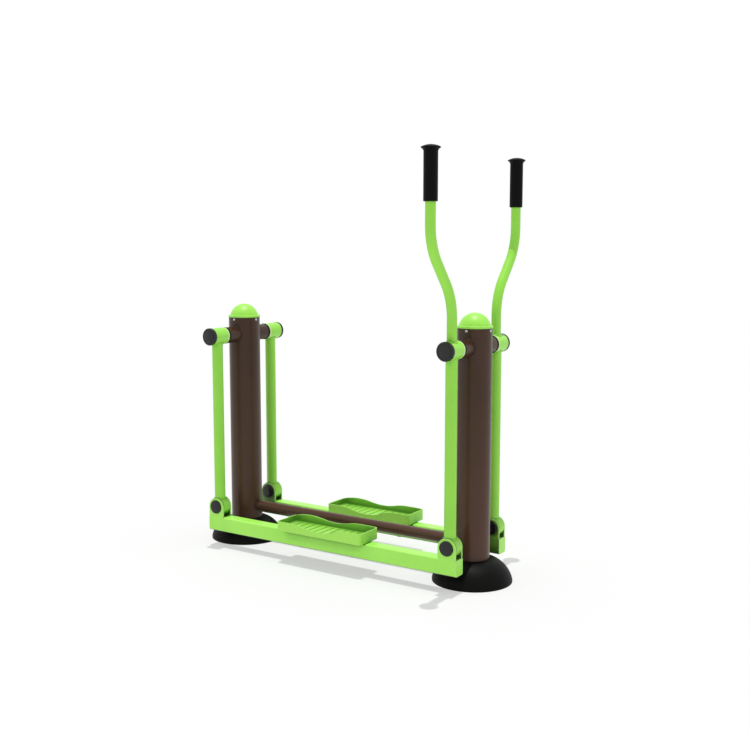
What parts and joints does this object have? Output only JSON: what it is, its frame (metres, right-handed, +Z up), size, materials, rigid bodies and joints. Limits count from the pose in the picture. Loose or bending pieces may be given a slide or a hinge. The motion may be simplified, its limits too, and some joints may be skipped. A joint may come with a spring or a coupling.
{
  "type": "outdoor air walker",
  "caption": "Two-post outdoor air walker: swing arms hang level rails with footboards from axles near the post tops, and the front arms run up into bent handle bars.",
  "frame": {"origin": "on the ground, midway between the two posts", "axes": "+X towards the post with the handles, which the user faces; +Y to the user's left, along the axles; +Z up"},
  "size_m": [1.274, 0.65, 1.436],
  "materials": {
    "brown_paint": "satin powder coat",
    "green_paint": "gloss powder coat",
    "green_cap": "gloss moulded plastic",
    "cast_footboard": "powder coated casting",
    "cover_plastic": "satin moulded plastic",
    "cap_plastic": "satin moulded plastic",
    "seal_rubber": "matt",
    "grip_rubber": "matt",
    "plate_steel": "hot dip galvanised",
    "bright_steel": "ground",
    "bearing_steel": "polished",
    "plated_fastener": "zinc plated"
  },
  "bodies": {
    "frame": {"front_post": "brown_paint", "rear_post": "brown_paint", "front_base_plate": "plate_steel", "rear_base_plate": "plate_steel", "base_gussets": "plate_steel", "front_base_cover": "cover_plastic", "rear_base_cover": "cover_plastic", "front_post_cap": "green_cap", "rear_post_cap": "green_cap", "post_cap_screws": "plated_fastener", "front_crossarm": "brown_paint", "rear_crossarm": "brown_paint", "front_axle_shaft": "bright_steel", "rear_axle_shaft": "bright_steel", "stretcher": "brown_paint", "bearing_spacers": "bright_steel", "axle_seals": "seal_rubber", "axle_end_screws": "plated_fastener"},
    "front_left_arm": {"front_left_upper_hub": "green_paint", "front_left_hub_bearings": "bearing_steel", "front_left_hub_cap": "cap_plastic", "front_left_arm_tube": "green_paint", "front_left_lower_hub": "green_paint", "front_left_lower_bearings": "bearing_steel", "left_handle": "green_paint", "left_grip": "grip_rubber"},
    "front_right_arm": {"front_right_upper_hub": "green_paint", "front_right_hub_bearings": "bearing_steel", "front_right_hub_cap": "cap_plastic", "front_right_arm_tube": "green_paint", "front_right_lower_hub": "green_paint", "front_right_lower_bearings": "bearing_steel", "right_handle": "green_paint", "right_grip": "grip_rubber"},
    "rear_left_arm": {"rear_left_upper_hub": "green_paint", "rear_left_hub_bearings": "bearing_steel", "rear_left_hub_cap": "cap_plastic", "rear_left_arm_tube": "green_paint", "rear_left_lower_hub": "green_paint", "rear_left_lower_bearings": "bearing_steel"},
    "rear_right_arm": {"rear_right_upper_hub": "green_paint", "rear_right_hub_bearings": "bearing_steel", "rear_right_hub_cap": "cap_plastic", "rear_right_arm_tube": "green_paint", "rear_right_lower_hub": "green_paint", "rear_right_lower_bearings": "bearing_steel"},
    "left_rail_assembly": {"left_rail": "green_paint", "left_clevis_plates": "green_paint", "left_pivot_pins": "bright_steel", "left_pivot_clips": "plated_fastener", "left_pivot_caps": "cap_plastic", "left_footboard": "cast_footboard", "left_footboard_bolts": "plated_fastener"},
    "right_rail_assembly": {"right_rail": "green_paint", "right_clevis_plates": "green_paint", "right_pivot_pins": "bright_steel", "right_pivot_clips": "plated_fastener", "right_pivot_caps": "cap_plastic", "right_footboard": "cast_footboard", "right_footboard_bolts": "plated_fastener"}
  },
  "joints": [
    {"name": "left_front_swing", "type": "hinge", "parent": "frame", "child": "front_left_arm", "pos_m": [0.5, 0.155, 0.798], "axis": [0, 1, 0], "range_deg": [-45, 45]},
    {"name": "left_rear_swing", "type": "hinge", "parent": "frame", "child": "rear_left_arm", "pos_m": [-0.5, 0.155, 0.798], "axis": [0, 1, 0], "range_deg": [-45, 45]},
    {"name": "left_rail_pivot", "type": "hinge", "parent": "front_left_arm", "child": "left_rail_assembly", "pos_m": [0.5, 0.155, 0.152], "axis": [0, 1, 0], "range_deg": [-45, 45]},
    {"name": "right_front_swing", "type": "hinge", "parent": "frame", "child": "front_right_arm", "pos_m": [0.5, -0.155, 0.798], "axis": [0, 1, 0], "range_deg": [-45, 45]},
    {"name": "right_rear_swing", "type": "hinge", "parent": "frame", "child": "rear_right_arm", "pos_m": [-0.5, -0.155, 0.798], "axis": [0, 1, 0], "range_deg": [-45, 45]},
    {"name": "right_rail_pivot", "type": "hinge", "parent": "front_right_arm", "child": "right_rail_assembly", "pos_m": [0.5, -0.155, 0.152], "axis": [0, 1, 0], "range_deg": [-45, 45]}
  ],
  "couplings": [
    {"joint": "left_rear_swing", "follows": "left_front_swing", "ratio": 1},
    {"joint": "left_rail_pivot", "follows": "left_front_swing", "ratio": -1},
    {"joint": "right_rear_swing", "follows": "right_front_swing", "ratio": 1},
    {"joint": "right_rail_pivot", "follows": "right_front_swing", "ratio": -1}
  ]
}
